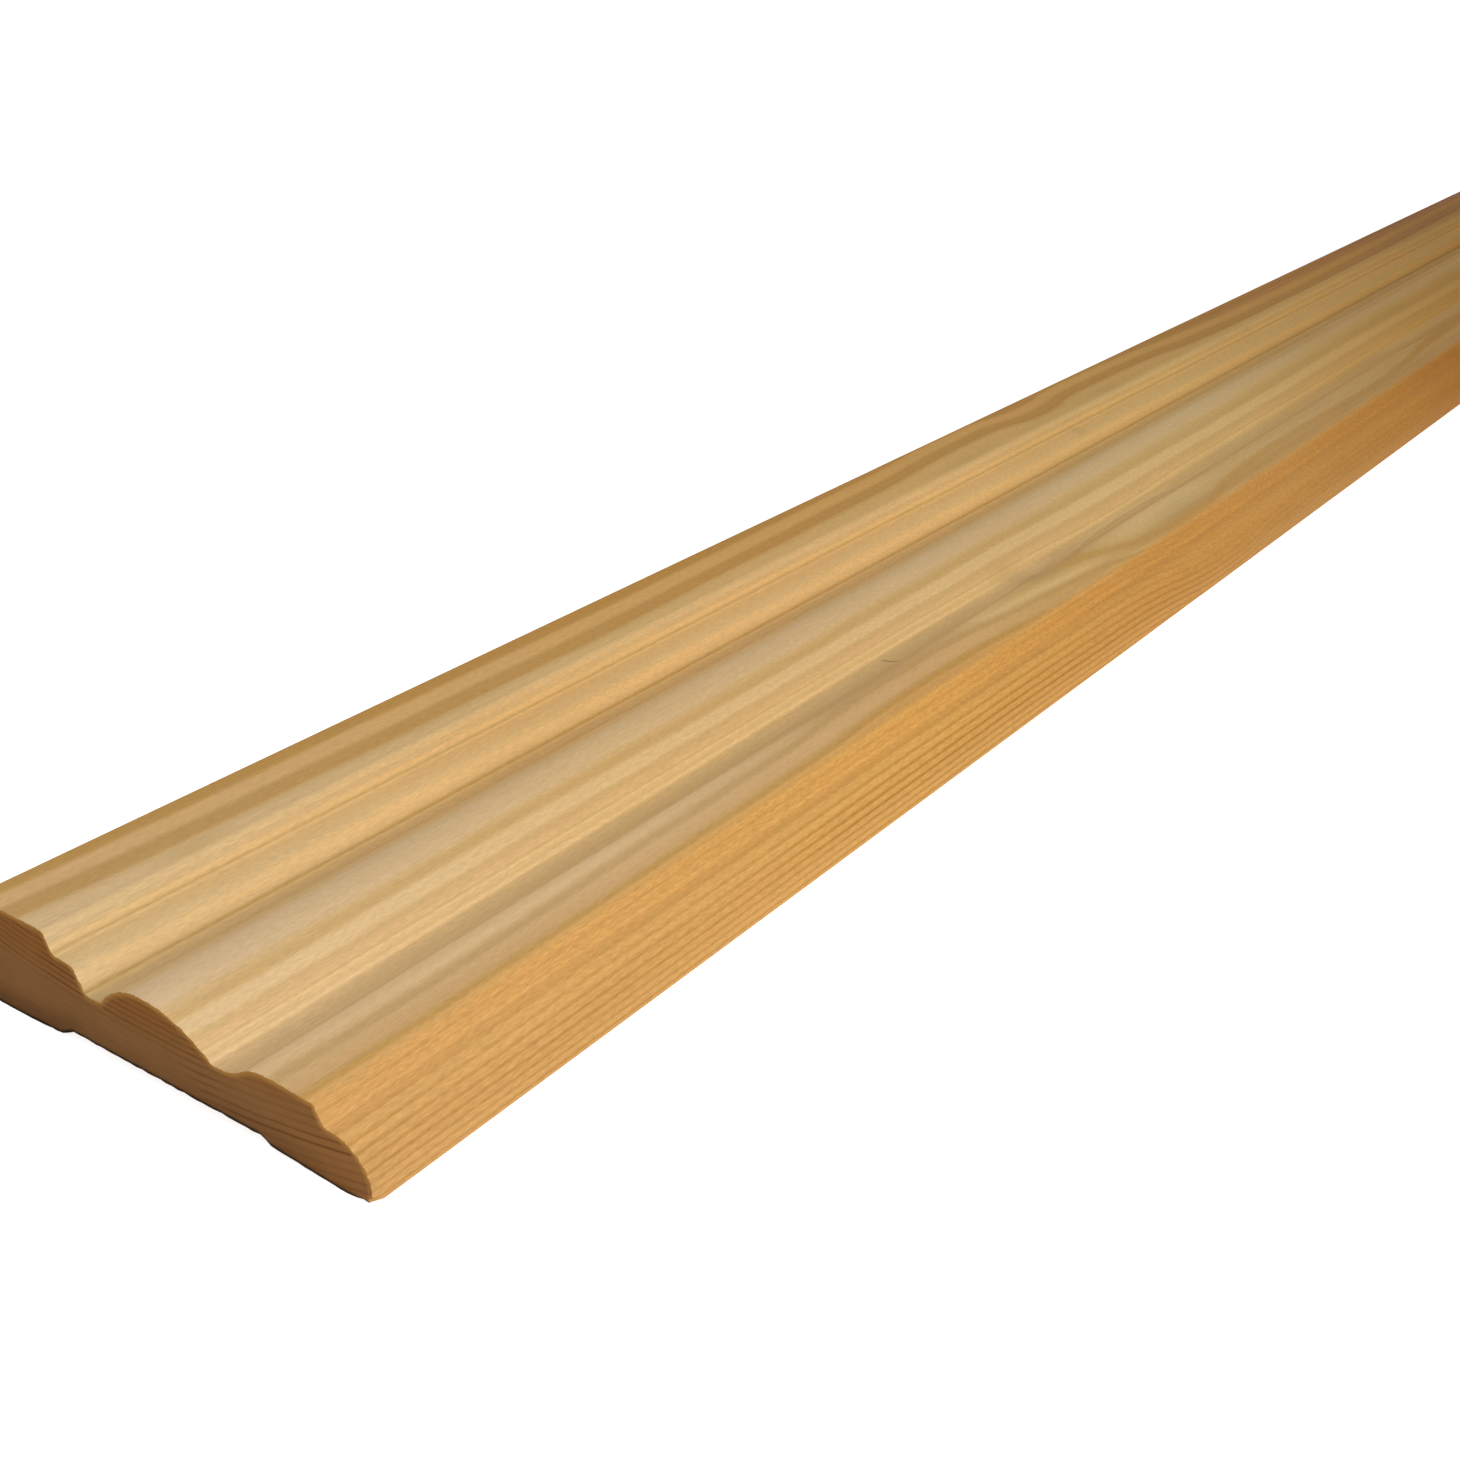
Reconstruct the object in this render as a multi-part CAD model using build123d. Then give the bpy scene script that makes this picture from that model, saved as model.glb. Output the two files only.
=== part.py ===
from build123d import *
from math import radians, tan
import os

# A length of softwood architrave, lying on its back. All sizes are in millimetres.
# X runs across the width, from the thick square edge to the rounded nose, Y along the length and Z
# up from the wall side to the face. The origin is under the middle of the length and width.

# Finished size of the stock
length = 2100.0
width = 95.5
thickness = 20.8

# How deep each member lies below the plain flat at the thick edge
ledge_depth = 4.1
quirk_depth = 9.0
torus_depth = 3.5
valley_depth = 9.5
swell_depth = 6.25
nose_depth = 10.2

# Width of each member, from the nose inwards. The plain flat takes what they leave.
nose_width = 8.6
nose_land = 0.15
swell_crown = 11.0
swell_rise = 10.6
valley_width = 1.8
torus_front = 16.5
torus_back = 11.0
quirk_width = 4.0
ledge_width = 5.0

# The three short walls between the members lean back by this much from the vertical
wall_lean = 27.0

# Fall of the swell's long crown towards the nose
crown_fall = 0.5

# Radii of the arrises and of the hollow corners
outer_arris = 0.8
flat_arris = 1.4
ledge_cove = 1.2
bead_radius = 3.0
quirk_corner = 1.0
valley_corner = 1.2
swell_arris = 0.9
nose_cove = 1.2
back_arris = 0.3

# Square part of the nose that stands on the wall
nose_square = 3.0

# Two feet bear on the wall, with a shallow hollow run out between them. Both are backed off towards
# the hollow, so that their outer strips close on the wall.
hollow_depth = 2.1
hollow_slope = 25.0
thick_foot = 20.4
thick_foot_strip = 9.0
thick_foot_back_off = 0.5
thin_foot = 22.5
thin_foot_strip = 7.0
thin_foot_back_off = 1.0


def above_wall(depth):
    """Height over the wall of a member that lies this deep below the flat."""
    return thickness - depth


def wall_run(drop):
    """How far a leaning wall runs sideways as it drops."""
    return drop * tan(radians(wall_lean))


def cove_reach(radius):
    """How far the round at a leaning wall's foot reaches along the flat beside it."""
    return radius * tan(radians((90 - wall_lean) / 2))


def hollow_run(rise):
    """How far a slope of the hollow runs sideways as it rises."""
    return rise / tan(radians(hollow_slope))


# Lines across the section where one member ends and the next begins, from the nose inwards
thick_edge = -width / 2
nose_edge = width / 2
nose_top = nose_edge - nose_width
lower_wall_foot = nose_top - nose_land - cove_reach(nose_cove)
swell_edge = lower_wall_foot - wall_run(nose_depth - swell_depth - crown_fall)
swell_top = swell_edge - swell_crown
valley_end = swell_top - swell_rise
valley_start = valley_end - valley_width
torus_top = valley_start - torus_front
quirk_end = torus_top - torus_back
quirk_start = quirk_end - quirk_width
ledge_end = quirk_start - wall_run(quirk_depth - ledge_depth)
ledge_start = ledge_end - ledge_width
flat_end = ledge_start - wall_run(ledge_depth)

# Corners of the face, before they are rounded
flat_corner = (flat_end, thickness)
ledge_foot = (ledge_start, above_wall(ledge_depth))
bead_corner = (ledge_end, above_wall(ledge_depth))
quirk_foot = (quirk_start, above_wall(quirk_depth))
torus_foot = (quirk_end, above_wall(quirk_depth))
torus_crown = (torus_top, above_wall(torus_depth))
valley_near = (valley_start, above_wall(valley_depth))
valley_far = (valley_end, above_wall(valley_depth))
swell_middle = (valley_end + swell_rise / 2, above_wall((valley_depth + swell_depth) / 2))
swell_start = (swell_top, above_wall(swell_depth))
swell_corner = (swell_edge, above_wall(swell_depth + crown_fall))
nose_foot = (lower_wall_foot, above_wall(nose_depth))
nose_start = (nose_top, above_wall(nose_depth))
nose_end = (nose_edge, nose_square)

# Corners of the edges and the hollow back
outer_corner = (thick_edge, thickness)
thick_heel = (thick_edge, 0)
nose_heel = (nose_edge, 0)
thin_strip_end = (nose_edge - thin_foot_strip, 0)
thin_foot_end = (nose_edge - thin_foot, thin_foot_back_off)
hollow_far = (nose_edge - thin_foot - hollow_run(hollow_depth - thin_foot_back_off), hollow_depth)
hollow_near = (thick_edge + thick_foot + hollow_run(hollow_depth - thick_foot_back_off), hollow_depth)
thick_foot_end = (thick_edge + thick_foot, thick_foot_back_off)
thick_strip_end = (thick_edge + thick_foot_strip, 0)

# Every corner that is rounded, with its radius
rounded_corners = [
    (outer_corner, outer_arris),
    (flat_corner, flat_arris),
    (ledge_foot, ledge_cove),
    (bead_corner, bead_radius),
    (quirk_foot, quirk_corner),
    (torus_foot, quirk_corner),
    (valley_near, valley_corner),
    (swell_corner, swell_arris),
    (nose_foot, nose_cove),
    (nose_heel, back_arris),
    (thick_heel, back_arris),
]


def moulded_face():
    """The members of the face, from the thick edge to the nose."""
    Polyline(outer_corner, flat_corner, ledge_foot, bead_corner, quirk_foot, torus_foot)
    TangentArc(torus_crown, torus_foot, tangent=(-1, 0))
    TangentArc(torus_crown, valley_near, tangent=(1, 0))
    Line(valley_near, valley_far)
    TangentArc(valley_far, swell_middle, tangent=(1, 0))
    TangentArc(swell_start, swell_middle, tangent=(-1, 0))
    TangentArc(swell_start, swell_corner, tangent=(1, 0))
    Polyline(swell_corner, nose_foot, nose_start)
    EllipticalCenterArc(
        (nose_top, nose_square),
        nose_width,
        above_wall(nose_depth) - nose_square,
        start_angle=0,
        arc_size=90,
    )


def hollow_back():
    """The nose's square edge, the two feet with the hollow between them, and the thick edge."""
    Polyline(
        nose_end,
        nose_heel,
        thin_strip_end,
        thin_foot_end,
        hollow_far,
        hollow_near,
        thick_foot_end,
        thick_strip_end,
        thick_heel,
        outer_corner,
    )


def corner_at(place):
    """The corner of the section that lies at this place."""
    return section.vertices().sort_by_distance(Vector(*place))[0]


# The section is drawn on the near end and run along the whole length
with BuildPart() as architrave:
    with BuildSketch(Plane.XZ.offset(length / 2)) as section:
        with BuildLine():
            moulded_face()
            hollow_back()
        make_face()
        for place, radius in rounded_corners:
            fillet(corner_at(place), radius)
    extrude(amount=-length)

architrave.part.label = "architrave"

os.makedirs("parts", exist_ok=True)
export_step(architrave.part, "parts/architrave.step")
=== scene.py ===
import math

import bpy
import numpy as np
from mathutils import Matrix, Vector


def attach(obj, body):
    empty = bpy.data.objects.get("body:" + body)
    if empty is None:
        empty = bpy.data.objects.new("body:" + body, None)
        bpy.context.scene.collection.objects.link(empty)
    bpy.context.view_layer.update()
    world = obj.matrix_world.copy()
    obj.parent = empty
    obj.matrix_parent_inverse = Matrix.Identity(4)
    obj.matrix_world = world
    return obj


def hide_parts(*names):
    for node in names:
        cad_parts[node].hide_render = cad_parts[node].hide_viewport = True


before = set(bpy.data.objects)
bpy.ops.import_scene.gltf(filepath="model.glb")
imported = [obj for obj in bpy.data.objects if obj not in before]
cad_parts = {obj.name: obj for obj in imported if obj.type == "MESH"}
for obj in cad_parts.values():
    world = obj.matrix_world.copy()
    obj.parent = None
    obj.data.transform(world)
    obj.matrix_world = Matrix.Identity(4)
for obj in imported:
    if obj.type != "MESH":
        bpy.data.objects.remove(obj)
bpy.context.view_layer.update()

# A length of softwood architrave lying on its back. The section's sizes are in millimetres, as they
# are in the part, and everything in the scene is in metres.
MM = 0.001

length = 2100.0
width = 95.5
thickness = 20.8

# How deep each member lies below the plain flat at the thick edge
ledge_depth = 4.1
quirk_depth = 9.0
torus_depth = 3.5
valley_depth = 9.5
swell_depth = 6.25
nose_depth = 10.2

# Width of each member, from the nose inwards
nose_width = 8.6
nose_land = 0.15
swell_crown = 11.0
swell_rise = 10.6
valley_width = 1.8
torus_front = 16.5
torus_back = 11.0
quirk_width = 4.0
ledge_width = 5.0
wall_lean = 27.0
crown_fall = 0.5
nose_square = 3.0

# Radii of the arrises and of the hollow corners
outer_arris = 0.8
flat_arris = 1.4
ledge_cove = 1.2
bead_radius = 3.0
quirk_corner = 1.0
valley_corner = 1.2
swell_arris = 0.9
nose_cove = 1.2
back_arris = 0.3

# The hollow of the back, and the two feet beside it: how wide each one is, how wide its outer strip
# is, which bears, and how far it is backed off from there to the hollow
hollow_depth = 2.1
hollow_slope = 25.0
thick_foot = 20.4
thick_foot_strip = 9.0
thick_foot_back_off = 0.5
thin_foot = 22.5
thin_foot_strip = 7.0
thin_foot_back_off = 1.0

# How closely the section is followed on the face and on the back, how far apart the stations along
# the length are, and how near to each end the last one before it is drawn
face_step = 0.4
back_step = 1.5
station_spacing = 12.0
end_station = 2.5

# The sawn face has a rim of so many steps. An end is reached past this share of the length from its
# middle, the arris is what lies in less than this share of the rim, and a face whose normal points
# along the board by more than this is a sawn end.
rim_stations = 2
end_reached = 0.4999
arris_share = 0.25
end_facing = 0.6

# The rings of the tree it was sawn from. Their middle lies over the face, so they cup upwards, and
# they are a little narrower across the board than circles.
pith_across = -2.65
pith_height = 180.3
ring_squeeze = 1.15
sapwood_ring = 1.27
heartwood_ring = 1.6
rings_widen_at = 170.2
ring_phase = 0.41

# Where the earlywood darkens into latewood within one ring, and where it ends
late_darkens = (0.45, 0.74)
late_ends = 0.82
weakest_ring = 0.55

# The rings wander by this much everywhere, over these distances across and along the board
ring_wander = 0.28
wander_across = 30.0
wander_along = 160.0
ripple = 0.13
ripple_across = 8.0
ripple_along = 35.0
noise_middle = 0.5
noise_octaves = 2.0

# On the plain flat, the torus, the swell and the nose the rings also wander as drawn here: how far
# along from the near end, and how much deeper in the tree the wood is there, up to the most that can
# be drawn. Each curve holds on a part of the width, from where it starts to where it ends.
most_drawn = 4.6
flat_wander = [
    (0, -0.25), (40, 0.1), (100, 0.25), (160, 0.3), (200, 0.1), (240, -0.05), (280, -0.25),
    (300, -0.6), (332, -0.95), (350, -0.6), (368, 0.1), (385, -0.45), (402, -0.65), (440, -0.4),
    (480, 0.5), (560, 1.1), (640, 0.9), (760, 0.2), (900, -0.5), (1200, 0.4), (1600, -0.4),
    (2100, 0.2),
]
torus_wander = [
    (0, -0.14), (20, -0.11), (50, 0.02), (80, 0.07), (120, 0.0), (160, -0.05), (200, -0.03),
    (232, 0.0), (252, 0.05), (268, 0.08), (290, -0.07), (320, -0.18), (370, -0.25), (440, -0.32),
    (520, -0.1), (640, -0.25), (800, 0.0), (1200, -0.2), (1600, 0.1), (2100, -0.1),
]
torus_starts = (1.5, 4.5)
torus_ends = (9.5, 13.0)
flat_ends = (-32.0, -28.0)

# The swell's wander is the flame beside a branch
swell_wander = [
    (0, 0.0), (60, 0.0), (100, 0.1), (140, 0.2), (170, 0.65), (200, 0.6), (230, -0.1), (250, -0.6),
    (270, -1.2), (290, -2.6), (310, -3.7), (332, -3.9), (350, -3.0), (380, -2.4), (420, -2.35),
    (480, -2.85), (520, -2.4), (560, -1.7), (640, -1.5), (800, -0.8), (1100, 0.4), (1500, -0.6),
    (2100, 0.1),
]
swell_starts = (5.0, 25.0)
swell_ends = (34.0, 38.0)

# On the nose the same branch draws the rings aside over a shorter stretch
nose_wander = [
    (0, 0.0), (200, 0.0), (240, -0.45), (262, -0.8), (280, -1.55), (292, -2.5), (302, -3.4),
    (324, -4.2), (340, -3.6), (352, -2.7), (380, -1.6), (400, -1.1), (440, -0.9), (600, -0.8),
    (900, 0.3), (1300, -0.5), (1700, 0.5), (2100, 0.0),
]

# Earlywood is planed this much lower than latewood
grain_relief = 0.035

# The rim of the sawn face is this wide where there is room for it. Room is looked for in these steps,
# up to where another side is nearer than this share of the way, and this share of it is used.
rim_width = 1.3
rim_step = 0.1
rim_share = 0.85
own_side_share = 0.99

# The sawn arrises are set back by up to this much, by a noise of this grain between two of its values
arris_wear = 0.25
wear_grain = 0.8
ragged_between = (-0.5, 0.7)

# The nose's heel is worn off at the sawn ends, more and more between these places across the board
# and less and less between these heights
heel_wear = 0.45
heel_wear_across = (43.0, 47.6)
heel_wear_heights = (0.0, 5.0)


def wall_run(drop):
    """How far a leaning wall runs sideways as it drops."""
    return drop * math.tan(math.radians(wall_lean))


def cove_reach(radius):
    """How far the round at a leaning wall's foot reaches along the flat beside it."""
    return radius * math.tan(math.radians((90 - wall_lean) / 2))


def hollow_run(rise):
    """How far a slope of the hollow runs sideways as it rises."""
    return rise / math.tan(math.radians(hollow_slope))


def level_arc(crown, foot):
    """Points from a crown, where the curve is level, round one arc to its foot."""
    run = foot[0] - crown[0]
    drop = crown[1] - foot[1]
    radius = (run * run + drop * drop) / (2 * abs(drop))
    sweep = math.asin(abs(run) / radius)
    steps = math.ceil(radius * sweep / face_step)
    points = []
    for index in range(steps + 1):
        turn = sweep * index / steps
        x = crown[0] + math.copysign(radius * math.sin(turn), run)
        z = crown[1] - math.copysign(radius * (1 - math.cos(turn)), drop)
        points.append((x, z))
    return points


def nose_round(top, square):
    """Points round the nose, from its top to the square part that stands on the wall."""
    tall = top[1] - square[1]
    wide = square[0] - top[0]
    steps = math.ceil((tall + wide) / face_step)
    points = []
    for index in range(steps + 1):
        turn = math.pi / 2 * index / steps
        points.append((top[0] + wide * math.sin(turn), square[1] + tall * math.cos(turn)))
    return points


def corner_arc(corner, before, after, radius):
    """The arc that rounds a corner, and how far it reaches along both sides."""
    corner = Vector(corner)
    to_before = (Vector(before) - corner).normalized()
    to_after = (Vector(after) - corner).normalized()
    half = to_before.angle(to_after) / 2
    reach = radius / math.tan(half)
    centre = corner + (to_before + to_after).normalized() * radius / math.sin(half)
    start = corner + to_before * reach - centre
    end = corner + to_after * reach - centre
    sweep = start.angle(end)
    steps = max(3, math.ceil(radius * sweep / face_step))
    points = []
    for index in range(steps + 1):
        part = index / steps
        share_start = math.sin((1 - part) * sweep) / math.sin(sweep)
        share_end = math.sin(part * sweep) / math.sin(sweep)
        points.append(tuple(centre + start * share_start + end * share_end))
    return points, reach


def section_path():
    """The unrounded section from the thick edge over the face to the nose and round the back."""
    thick_edge = -width / 2
    nose_edge = width / 2
    nose_top = nose_edge - nose_width
    lower_wall_foot = nose_top - nose_land - cove_reach(nose_cove)
    swell_edge = lower_wall_foot - wall_run(nose_depth - swell_depth - crown_fall)
    swell_top = swell_edge - swell_crown
    valley_end = swell_top - swell_rise
    valley_start = valley_end - valley_width
    torus_top = valley_start - torus_front
    quirk_end = torus_top - torus_back
    quirk_start = quirk_end - quirk_width
    ledge_end = quirk_start - wall_run(quirk_depth - ledge_depth)
    ledge_start = ledge_end - ledge_width
    flat_end = ledge_start - wall_run(ledge_depth)

    outer_corner = (thick_edge, thickness)
    flat_corner = (flat_end, thickness)
    ledge_foot = (ledge_start, thickness - ledge_depth)
    bead_corner = (ledge_end, thickness - ledge_depth)
    quirk_foot = (quirk_start, thickness - quirk_depth)
    torus_foot = (quirk_end, thickness - quirk_depth)
    torus_crown = (torus_top, thickness - torus_depth)
    valley_near = (valley_start, thickness - valley_depth)
    valley_far = (valley_end, thickness - valley_depth)
    swell_middle = (valley_end + swell_rise / 2, thickness - (valley_depth + swell_depth) / 2)
    swell_start = (swell_top, thickness - swell_depth)
    swell_corner = (swell_edge, thickness - swell_depth - crown_fall)
    nose_foot = (lower_wall_foot, thickness - nose_depth)
    nose_start = (nose_top, thickness - nose_depth)
    nose_end = (nose_edge, nose_square)
    nose_heel = (nose_edge, 0)
    thick_heel = (thick_edge, 0)

    face = [outer_corner, flat_corner, ledge_foot, bead_corner, quirk_foot]
    face += level_arc(torus_crown, torus_foot)[::-1]
    face += level_arc(torus_crown, valley_near)[1:]
    face += level_arc(valley_far, swell_middle)
    face += level_arc(swell_start, swell_middle)[:-1][::-1]
    face += level_arc(swell_start, swell_corner)[1:]
    face += [nose_foot]
    face += nose_round(nose_start, nose_end)
    back = [
        nose_heel,
        (nose_edge - thin_foot_strip, 0),
        (nose_edge - thin_foot, thin_foot_back_off),
        (nose_edge - thin_foot - hollow_run(hollow_depth - thin_foot_back_off), hollow_depth),
        (thick_edge + thick_foot + hollow_run(hollow_depth - thick_foot_back_off), hollow_depth),
        (thick_edge + thick_foot, thick_foot_back_off),
        (thick_edge + thick_foot_strip, 0),
        thick_heel,
    ]
    radii = {
        outer_corner: outer_arris,
        flat_corner: flat_arris,
        ledge_foot: ledge_cove,
        bead_corner: bead_radius,
        quirk_foot: quirk_corner,
        torus_foot: quirk_corner,
        valley_near: valley_corner,
        swell_corner: swell_arris,
        nose_foot: nose_cove,
        nose_heel: back_arris,
        thick_heel: back_arris,
    }
    return face + back, radii


def section_outline():
    """The rounded section as an even run of points, in metres."""
    path, radii = section_path()
    arcs = {}
    reaches = []
    for place, radius in radii.items():
        index = min(range(len(path)), key=lambda nearest: math.dist(path[nearest], place))
        arc, reach = corner_arc(path[index], path[index - 1], path[(index + 1) % len(path)], radius)
        arcs[index] = arc
        reaches.append((path[index], reach))
    smooth = []
    for index, place in enumerate(path):
        if index in arcs:
            smooth += arcs[index]
        elif all(math.dist(place, corner) > reach for corner, reach in reaches):
            smooth.append(place)
    outline = []
    for index, start in enumerate(smooth):
        end = smooth[(index + 1) % len(smooth)]
        on_back = min(start[1], end[1]) < nose_square and max(start[1], end[1]) <= nose_square
        step = back_step if on_back else face_step
        cuts = max(1, round(math.dist(start, end) / step))
        for cut in range(cuts):
            outline.append(tuple(Vector(start).lerp(Vector(end), cut / cuts) * MM))
    return outline


def room_inside(places, outward):
    """How far each point can move inwards, up to the rim's width, before another side is nearer."""
    room = np.zeros(len(places))
    for step in range(round(rim_width / rim_step)):
        reach = (step + 1) * rim_step * MM
        moved = places - outward * reach
        nearest_gap = np.linalg.norm(moved[:, None] - places[None], axis=2).min(axis=1)
        still_free = room > (step - 1 / 2) * rim_step * MM
        room = np.where(still_free & (nearest_gap > reach * own_side_share), reach, room)
    return room * rim_share


def section_mesh(outline):
    """The section as one loop of edges, with where each point faces and how wide its rim is."""
    places = np.array(outline)
    ahead = np.roll(places, -1, axis=0) - np.roll(places, 1, axis=0)
    ahead /= np.linalg.norm(ahead, axis=1)[:, None]
    outward = np.stack([-ahead[:, 1], np.zeros(len(places)), ahead[:, 0]], axis=1)
    girth = np.concatenate([[0], np.cumsum(np.linalg.norm(np.diff(places, axis=0), axis=1))])
    count = len(places)
    mesh = bpy.data.meshes.new("section")
    mesh.from_pydata(
        [(x, 0, z) for x, z in places],
        [(index, (index + 1) % count) for index in range(count)],
        [],
    )
    mesh.attributes.new("outward", "FLOAT_VECTOR", "POINT")
    mesh.attributes["outward"].data.foreach_set("vector", outward.ravel())
    for name, values in (("rim", room_inside(places, outward[:, [0, 2]])), ("girth", girth)):
        mesh.attributes.new(name, "FLOAT", "POINT")
        mesh.attributes[name].data.foreach_set("value", values)
    return mesh


class Bench:
    """Adds nodes to one tree. An input is given as a value or as the socket that feeds it."""

    def __init__(self, tree):
        self.tree = tree

    def feed(self, socket, source):
        """Gives a socket its value or joins it to its source."""
        if isinstance(source, bpy.types.NodeSocket):
            self.tree.links.new(source, socket)
        elif socket.type == "RGBA":
            socket.default_value = (*source, 1.0)
        else:
            socket.default_value = source

    def node(self, kind, settings=None, **inputs):
        """A node with its settings and its inputs, named as on the node with low lines for spaces."""
        made = self.tree.nodes.new(kind)
        for name, value in (settings or {}).items():
            setattr(made, name, value)
        for name, source in inputs.items():
            wanted = name.replace("_", " ").strip()
            socket = next(s for s in made.inputs if s.name == wanted and s.enabled)
            self.feed(socket, source)
        return made

    def result(self, kind, settings=None, **inputs):
        """The first result of a node."""
        return self.node(kind, settings, **inputs).outputs[0]

    def fill(self, made, *sources):
        """Feeds the inputs of a node in their order."""
        for socket, source in zip(made.inputs, sources):
            self.feed(socket, source)
        return made.outputs

    def sum_up(self, operation, *sources):
        """The result of a Math node."""
        return self.fill(self.node("ShaderNodeMath", {"operation": operation}), *sources)[0]

    def plus(self, value, other):
        """The sum of two values."""
        return self.sum_up("ADD", value, other)

    def minus(self, value, other):
        """A value less another."""
        return self.sum_up("SUBTRACT", value, other)

    def times(self, value, *others):
        """The product of values."""
        for other in others:
            value = self.sum_up("MULTIPLY", value, other)
        return value

    def vector_sum(self, operation, *sources):
        """The result of a Vector Math node."""
        made = self.node("ShaderNodeVectorMath", {"operation": operation})
        return self.fill(made, *sources)["Value" if operation == "LENGTH" else "Vector"]

    def spread(self, value, low, high, to_low=0.0, to_high=1.0, ease="SMOOTHSTEP"):
        """Moves a value from one range to another, easing in and out."""
        return self.result(
            "ShaderNodeMapRange",
            {"interpolation_type": ease},
            Value=value,
            From_Min=low,
            From_Max=high,
            To_Min=to_low,
            To_Max=to_high,
        )

    def drift(self, place, across, along, octaves=noise_octaves, roughness=0.5):
        """Soft noise about nought, from -1 to 1, that changes over these distances in millimetres."""
        stretched = self.vector_sum(
            "MULTIPLY", place, (1 / (across * MM), 1 / (along * MM), 1 / (across * MM))
        )
        noise = self.result(
            "ShaderNodeTexNoise",
            {"noise_dimensions": "3D"},
            Vector=stretched,
            Scale=1.0,
            Detail=octaves,
            Roughness=roughness,
        )
        return self.times(self.minus(noise, noise_middle), 2.0)


def drawn_aside(bench, depth, along, points, share):
    """A depth with a share of a curve added, drawn through points: how far along, and its value."""
    reached = bench.spread(along, -length / 2 * MM, length / 2 * MM, ease="LINEAR")
    curve = bench.node("ShaderNodeFloatCurve", Value=reached)
    line = curve.mapping.curves[0]
    while len(line.points) < len(points):
        line.points.new(0.0, 0.0)
    for point, (distance, value) in zip(line.points, points):
        point.location = (distance / length, 0.5 + value / (2 * most_drawn))
    curve.mapping.update()
    more = bench.spread(curve.outputs[0], 0.0, 1.0, -most_drawn, most_drawn, "LINEAR")
    return bench.sum_up("MULTIPLY_ADD", more, share, depth)


def depth_in_tree(bench, place, squeeze=ring_squeeze):
    """Distance from the pith of the tree in millimetres, with and without the branch's flame."""
    parts = bench.node("ShaderNodeSeparateXYZ", Vector=place).outputs
    x = bench.times(parts["X"], 1 / MM)
    y = parts["Y"]
    from_pith = bench.vector_sum("SUBTRACT", place, (pith_across * MM, 0.0, pith_height * MM))
    across_only = bench.vector_sum("MULTIPLY", from_pith, (squeeze / MM, 0.0, 1 / MM))
    depth = bench.vector_sum("LENGTH", across_only)
    slow = bench.drift(place, wander_across, wander_along)
    depth = bench.sum_up("MULTIPLY_ADD", slow, ring_wander, depth)
    quick = bench.drift(place, ripple_across, ripple_along)
    depth = bench.sum_up("MULTIPLY_ADD", quick, ripple, depth)
    on_flat = bench.spread(x, *flat_ends, 1.0, 0.0)
    steady = drawn_aside(bench, depth, y, flat_wander, on_flat)
    on_torus = bench.minus(bench.spread(x, *torus_starts), bench.spread(x, *torus_ends))
    steady = drawn_aside(bench, steady, y, torus_wander, on_torus)
    on_nose = bench.spread(x, *swell_ends)
    on_swell = bench.minus(bench.spread(x, *swell_starts), on_nose)
    depth = drawn_aside(bench, steady, y, swell_wander, on_swell)
    depth = drawn_aside(bench, depth, y, nose_wander, on_nose)
    return depth, steady


def latewood(bench, depth):
    """How far into its ring's dark late part a place lies, from 0 to 1. Rings differ in strength."""
    rings = bench.sum_up("MULTIPLY_ADD", depth, 1 / sapwood_ring, ring_phase)
    past_widening = bench.sum_up("MAXIMUM", bench.minus(depth, rings_widen_at), 0.0)
    fewer = 1 / heartwood_ring - 1 / sapwood_ring
    rings = bench.sum_up("MULTIPLY_ADD", past_widening, fewer, rings)
    part = bench.sum_up("FRACT", rings)
    darkening = bench.spread(part, *late_darkens)
    ending = bench.spread(part, late_ends, 1.0, 1.0, 0.0)
    which = bench.sum_up("FLOOR", rings)
    one_way = {"noise_dimensions": "1D"}
    chance = bench.node("ShaderNodeTexWhiteNoise", one_way, W=which).outputs["Value"]
    strength = bench.spread(chance, 0.0, 1.0, weakest_ring, 1.0, "LINEAR")
    return bench.times(darkening, ending, strength)


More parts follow.
